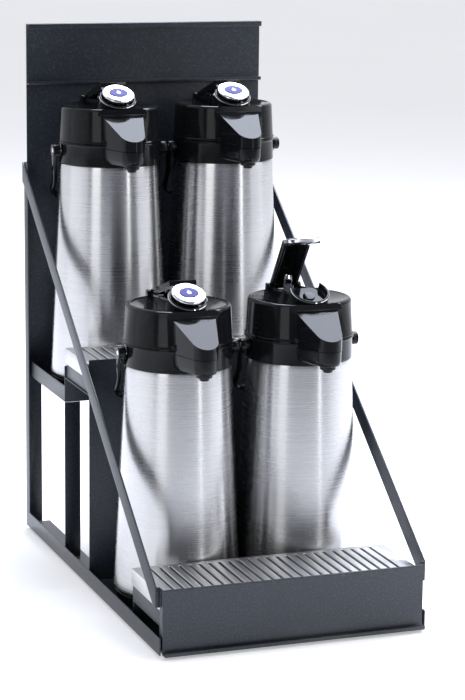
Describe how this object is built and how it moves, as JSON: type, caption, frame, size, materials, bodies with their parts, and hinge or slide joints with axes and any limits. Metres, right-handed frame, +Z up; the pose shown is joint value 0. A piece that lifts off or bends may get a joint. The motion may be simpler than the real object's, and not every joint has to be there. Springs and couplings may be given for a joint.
{
  "type": "airpot serving rack with airpots",
  "caption": "Two-tier sheet-steel serving rack with slotted drip trays, diagonal side straps and lever-pump airpots with hinged lids, beaks and bail handles.",
  "frame": {"origin": "on the ground under the middle of the rack's box, at the height of the feet's undersides", "axes": "+Z up, -Y towards the person who is served, +X to that side's right"},
  "size_m": [0.3574, 0.6146, 0.7211],
  "materials": {
    "powder_coat": "textured satin powder coat, charcoal",
    "black_plastic": "moulded gloss black",
    "brushed_steel": "fine horizontal brushing round the shell",
    "liner_steel": "plain drawn steel",
    "grille_steel": "brushed stainless",
    "chrome": "polished",
    "grey_plastic": "moulded satin grey",
    "rubber": "matte"
  },
  "bodies": {
    "rack": {"base_pan": "powder_coat", "back_panel": "powder_coat", "header_sign_holder": "powder_coat", "upper_shelf": "powder_coat", "mid_leg_left": "powder_coat", "mid_leg_right": "powder_coat", "riser_panel": "powder_coat", "front_fascia": "powder_coat", "lower_tray_stand": "powder_coat", "side_strap_left": "powder_coat", "side_strap_right": "powder_coat", "foot_front_left": "rubber", "foot_front_right": "rubber", "foot_rear_left": "rubber", "foot_rear_right": "rubber"},
    "lower_pan": {"lower_drip_pan": "powder_coat"},
    "lower_grille": {"lower_drip_grille": "grille_steel"},
    "upper_pan": {"upper_drip_pan": "powder_coat"},
    "upper_grille": {"upper_drip_grille": "grille_steel"},
    "rear_left_pot": {"rear_left_body_shell": "brushed_steel", "rear_left_vacuum_liner": "liner_steel", "rear_left_base_ring": "black_plastic", "rear_left_collar": "black_plastic", "rear_left_dip_tube": "grey_plastic"},
    "rear_left_bail": {"rear_left_bail_handle": "black_plastic"},
    "rear_left_lid": {"rear_left_pump_head": "black_plastic"},
    "rear_left_lever": {"rear_left_lever_arm": "black_plastic", "rear_left_lever_cap": "chrome"},
    "rear_left_plunger": {"rear_left_pump_plunger": "grey_plastic"},
    "rear_right_pot": {"rear_right_body_shell": "brushed_steel", "rear_right_vacuum_liner": "liner_steel", "rear_right_base_ring": "black_plastic", "rear_right_collar": "black_plastic", "rear_right_dip_tube": "grey_plastic"},
    "rear_right_bail": {"rear_right_bail_handle": "black_plastic"},
    "rear_right_lid": {"rear_right_pump_head": "black_plastic"},
    "rear_right_lever": {"rear_right_lever_arm": "black_plastic", "rear_right_lever_cap": "chrome"},
    "rear_right_plunger": {"rear_right_pump_plunger": "grey_plastic"},
    "front_left_pot": {"front_left_body_shell": "brushed_steel", "front_left_vacuum_liner": "liner_steel", "front_left_base_ring": "black_plastic", "front_left_collar": "black_plastic", "front_left_dip_tube": "grey_plastic"},
    "front_left_bail": {"front_left_bail_handle": "black_plastic"},
    "front_left_lid": {"front_left_pump_head": "black_plastic"},
    "front_left_lever": {"front_left_lever_arm": "black_plastic", "front_left_lever_cap": "chrome"},
    "front_left_plunger": {"front_left_pump_plunger": "grey_plastic"},
    "front_right_pot": {"front_right_body_shell": "brushed_steel", "front_right_vacuum_liner": "liner_steel", "front_right_base_ring": "black_plastic", "front_right_collar": "black_plastic", "front_right_dip_tube": "grey_plastic"},
    "front_right_bail": {"front_right_bail_handle": "black_plastic"},
    "front_right_lid": {"front_right_pump_head": "black_plastic"},
    "front_right_lever": {"front_right_lever_arm": "black_plastic", "front_right_lever_cap": "chrome"},
    "front_right_plunger": {"front_right_pump_plunger": "grey_plastic"}
  },
  "joints": [
    {"name": "lower_pan_lift", "type": "slide", "parent": "rack", "child": "lower_pan", "axis": [0, 0, -1], "range_m": [-0.06, 0]},
    {"name": "lower_grille_lift", "type": "slide", "parent": "lower_pan", "child": "lower_grille", "axis": [0, 0, -1], "range_m": [-0.05, 0]},
    {"name": "upper_pan_lift", "type": "slide", "parent": "rack", "child": "upper_pan", "axis": [0, 0, -1], "range_m": [-0.06, 0]},
    {"name": "upper_grille_lift", "type": "slide", "parent": "upper_pan", "child": "upper_grille", "axis": [0, 0, -1], "range_m": [-0.05, 0]},
    {"name": "rear_left_pot_lift", "type": "slide", "parent": "rack", "child": "rear_left_pot", "axis": [0, 0, 1], "range_m": [0, 0.12]},
    {"name": "rear_left_bail_swing", "type": "hinge", "parent": "rear_left_pot", "child": "rear_left_bail", "pos_m": [-0.0826, 0.2055, 0.5574], "axis": [-1, 0, 0], "range_deg": [-8, 0]},
    {"name": "rear_left_lid_hinge", "type": "hinge", "parent": "rear_left_pot", "child": "rear_left_lid", "pos_m": [-0.0826, 0.2785, 0.568], "axis": [-1, 0, 0], "range_deg": [0, 20]},
    {"name": "rear_left_lever_hinge", "type": "hinge", "parent": "rear_left_lid", "child": "rear_left_lever", "pos_m": [-0.0826, 0.2635, 0.6214], "axis": [-1, 0, 0], "range_deg": [0, 38]},
    {"name": "rear_left_plunger_slide", "type": "slide", "parent": "rear_left_lid", "child": "rear_left_plunger", "axis": [0, 0, 1], "range_m": [0, 0.0127]},
    {"name": "rear_right_pot_lift", "type": "slide", "parent": "rack", "child": "rear_right_pot", "axis": [0, 0, 1], "range_m": [0, 0.12]},
    {"name": "rear_right_bail_swing", "type": "hinge", "parent": "rear_right_pot", "child": "rear_right_bail", "pos_m": [0.0826, 0.2055, 0.5574], "axis": [-1, 0, 0], "range_deg": [-8, 0]},
    {"name": "rear_right_lid_hinge", "type": "hinge", "parent": "rear_right_pot", "child": "rear_right_lid", "pos_m": [0.0826, 0.2785, 0.568], "axis": [-1, 0, 0], "range_deg": [0, 20]},
    {"name": "rear_right_lever_hinge", "type": "hinge", "parent": "rear_right_lid", "child": "rear_right_lever", "pos_m": [0.0826, 0.2635, 0.6214], "axis": [-1, 0, 0], "range_deg": [0, 38]},
    {"name": "rear_right_plunger_slide", "type": "slide", "parent": "rear_right_lid", "child": "rear_right_plunger", "axis": [0, 0, 1], "range_m": [0, 0.0127]},
    {"name": "front_left_pot_lift", "type": "slide", "parent": "rack", "child": "front_left_pot", "axis": [0, 0, 1], "range_m": [0, 0.12]},
    {"name": "front_left_bail_swing", "type": "hinge", "parent": "front_left_pot", "child": "front_left_bail", "pos_m": [-0.0826, -0.0887, 0.3354], "axis": [-1, 0, 0], "range_deg": [-8, 0]},
    {"name": "front_left_lid_hinge", "type": "hinge", "parent": "front_left_pot", "child": "front_left_lid", "pos_m": [-0.0826, -0.0157, 0.346], "axis": [-1, 0, 0], "range_deg": [0, 45]},
    {"name": "front_left_lever_hinge", "type": "hinge", "parent": "front_left_lid", "child": "front_left_lever", "pos_m": [-0.0826, -0.0307, 0.3994], "axis": [-1, 0, 0], "range_deg": [0, 38]},
    {"name": "front_left_plunger_slide", "type": "slide", "parent": "front_left_lid", "child": "front_left_plunger", "axis": [0, 0, 1], "range_m": [0, 0.0127]},
    {"name": "front_right_pot_lift", "type": "slide", "parent": "rack", "child": "front_right_pot", "axis": [0, 0, 1], "range_m": [0, 0.12]},
    {"name": "front_right_bail_swing", "type": "hinge", "parent": "front_right_pot", "child": "front_right_bail", "pos_m": [0.0826, -0.0887, 0.3354], "axis": [-1, 0, 0], "range_deg": [-8, 0]},
    {"name": "front_right_lid_hinge", "type": "hinge", "parent": "front_right_pot", "child": "front_right_lid", "pos_m": [0.0826, -0.0157, 0.346], "axis": [-1, 0, 0], "range_deg": [0, 45]},
    {"name": "front_right_lever_hinge", "type": "hinge", "parent": "front_right_lid", "child": "front_right_lever", "pos_m": [0.0826, -0.0307, 0.3994], "axis": [-1, 0, 0], "range_deg": [-38, 0], "stiffness_Nm_per_rad": 0.15, "springref_deg": 25.78},
    {"name": "front_right_plunger_slide", "type": "slide", "parent": "front_right_lid", "child": "front_right_plunger", "axis": [0, 0, 1], "range_m": [-0.0127, 0]}
  ],
  "couplings": [
    {"joint": "rear_left_plunger_slide", "follows": "rear_left_lever_hinge", "m_per_rad": 0.019},
    {"joint": "rear_right_plunger_slide", "follows": "rear_right_lever_hinge", "m_per_rad": 0.019},
    {"joint": "front_left_plunger_slide", "follows": "front_left_lever_hinge", "m_per_rad": 0.019},
    {"joint": "front_right_plunger_slide", "follows": "front_right_lever_hinge", "m_per_rad": 0.019}
  ]
}
